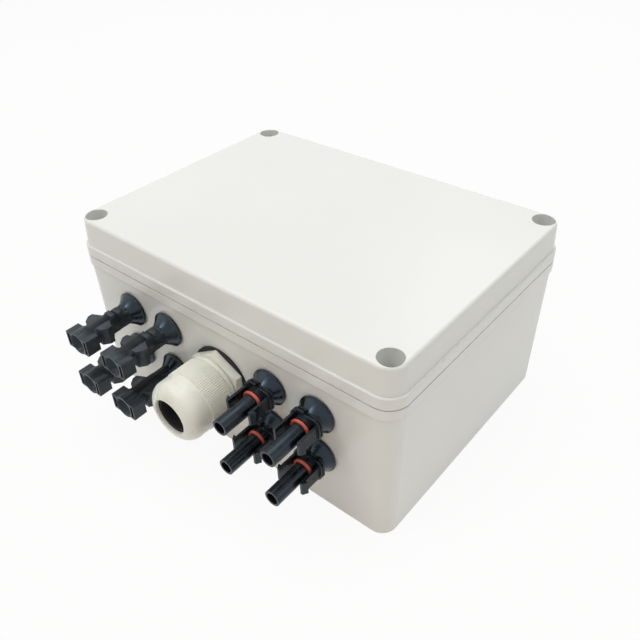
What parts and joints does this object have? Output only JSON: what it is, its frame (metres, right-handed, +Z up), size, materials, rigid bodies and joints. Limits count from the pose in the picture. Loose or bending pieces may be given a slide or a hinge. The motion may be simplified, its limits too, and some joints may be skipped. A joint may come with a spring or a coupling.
{
  "type": "pv junction box",
  "caption": "Off-white plastic junction box for solar strings: screwed lid with gasket, rows of black solar sockets and plugs, a large cable gland, hinged fuse holders inside.",
  "frame": {"origin": "centre of the underside, at the height of the face that the box rests on", "axes": "+Z up through the lid, connectors on the -Y wall, +X to the right seen from the connectors"},
  "size_m": [0.24, 0.2198, 0.1204],
  "materials": {
    "enclosure": "satin off-white moulded plastic",
    "nylon": "ivory moulded nylon",
    "black_plastic": "satin black moulded plastic",
    "grey_plastic": "matt light grey moulded plastic",
    "black_rubber": "matt black rubber",
    "orange_rubber": "orange silicone rubber",
    "tinned_copper": "tin-plated copper",
    "screw_steel": "zinc-plated steel",
    "plate_steel": "galvanised sheet steel",
    "rail_steel": "passivated steel",
    "copper": "bare copper",
    "brass": "bare brass",
    "fuse_ceramic": "white ceramic"
  },
  "bodies": {
    "enclosure": {"bar_foot_left": "grey_plastic", "bar_foot_right": "grey_plastic", "bar_screws": "screw_steel", "base_shell": "enclosure", "comb_busbar": "copper", "connector_lock_nuts": "black_plastic", "fuse_base_1": "grey_plastic", "fuse_base_2": "grey_plastic", "fuse_base_3": "grey_plastic", "fuse_base_4": "grey_plastic", "gland_body": "nylon", "gland_lock_nut": "nylon", "gland_seal": "black_rubber", "gland_washer": "black_rubber", "mounting_plate": "plate_steel", "plate_screws": "screw_steel", "plug_contact_1": "tinned_copper", "plug_contact_2": "tinned_copper", "plug_contact_3": "tinned_copper", "plug_contact_4": "tinned_copper", "plug_gasket_1": "black_rubber", "plug_gasket_2": "black_rubber", "plug_gasket_3": "black_rubber", "plug_gasket_4": "black_rubber", "plug_housing_1": "black_plastic", "plug_housing_2": "black_plastic", "plug_housing_3": "black_plastic", "plug_housing_4": "black_plastic", "plug_oring_1": "orange_rubber", "plug_oring_2": "orange_rubber", "plug_oring_3": "orange_rubber", "plug_oring_4": "orange_rubber", "rail": "rail_steel", "rail_screws": "screw_steel", "socket_contact_1": "tinned_copper", "socket_contact_2": "tinned_copper", "socket_contact_3": "tinned_copper", "socket_contact_4": "tinned_copper", "socket_gasket_1": "black_rubber", "socket_gasket_2": "black_rubber", "socket_gasket_3": "black_rubber", "socket_gasket_4": "black_rubber", "socket_housing_1": "black_plastic", "socket_housing_2": "black_plastic", "socket_housing_3": "black_plastic", "socket_housing_4": "black_plastic", "terminal_bar": "brass", "terminal_screws": "screw_steel"},
    "lid": {"lid": "enclosure", "lid_gasket": "black_rubber", "lid_screws": "screw_steel"},
    "dome_nut": {"gland_dome_nut": "nylon"},
    "fuse_carrier_1": {"fuse_carrier_1": "grey_plastic", "fuse_link_1": "fuse_ceramic"},
    "fuse_carrier_2": {"fuse_carrier_2": "grey_plastic", "fuse_link_2": "fuse_ceramic"},
    "fuse_carrier_3": {"fuse_carrier_3": "grey_plastic", "fuse_link_3": "fuse_ceramic"},
    "fuse_carrier_4": {"fuse_carrier_4": "grey_plastic", "fuse_link_4": "fuse_ceramic"}
  },
  "joints": [
    {"name": "lid_lift", "type": "slide", "parent": "enclosure", "child": "lid", "axis": [0, 0, 1], "range_m": [0, 0.06]},
    {"name": "dome_nut_turn", "type": "hinge", "parent": "enclosure", "child": "dome_nut", "pos_m": [0.00101, -0.10748, 0.05425], "axis": [0, -0.9997, -0.0225], "range_deg": [-30, 720]},
    {"name": "fuse_carrier_1_swing", "type": "hinge", "parent": "enclosure", "child": "fuse_carrier_1", "pos_m": [0.021, -0.0054, 0.057], "axis": [1, 0, 0], "range_deg": [0, 90]},
    {"name": "fuse_carrier_2_swing", "type": "hinge", "parent": "enclosure", "child": "fuse_carrier_2", "pos_m": [0.039, -0.0054, 0.057], "axis": [1, 0, 0], "range_deg": [0, 90]},
    {"name": "fuse_carrier_3_swing", "type": "hinge", "parent": "enclosure", "child": "fuse_carrier_3", "pos_m": [0.057, -0.0054, 0.057], "axis": [1, 0, 0], "range_deg": [0, 90]},
    {"name": "fuse_carrier_4_swing", "type": "hinge", "parent": "enclosure", "child": "fuse_carrier_4", "pos_m": [0.075, -0.0054, 0.057], "axis": [1, 0, 0], "range_deg": [0, 90]}
  ]
}
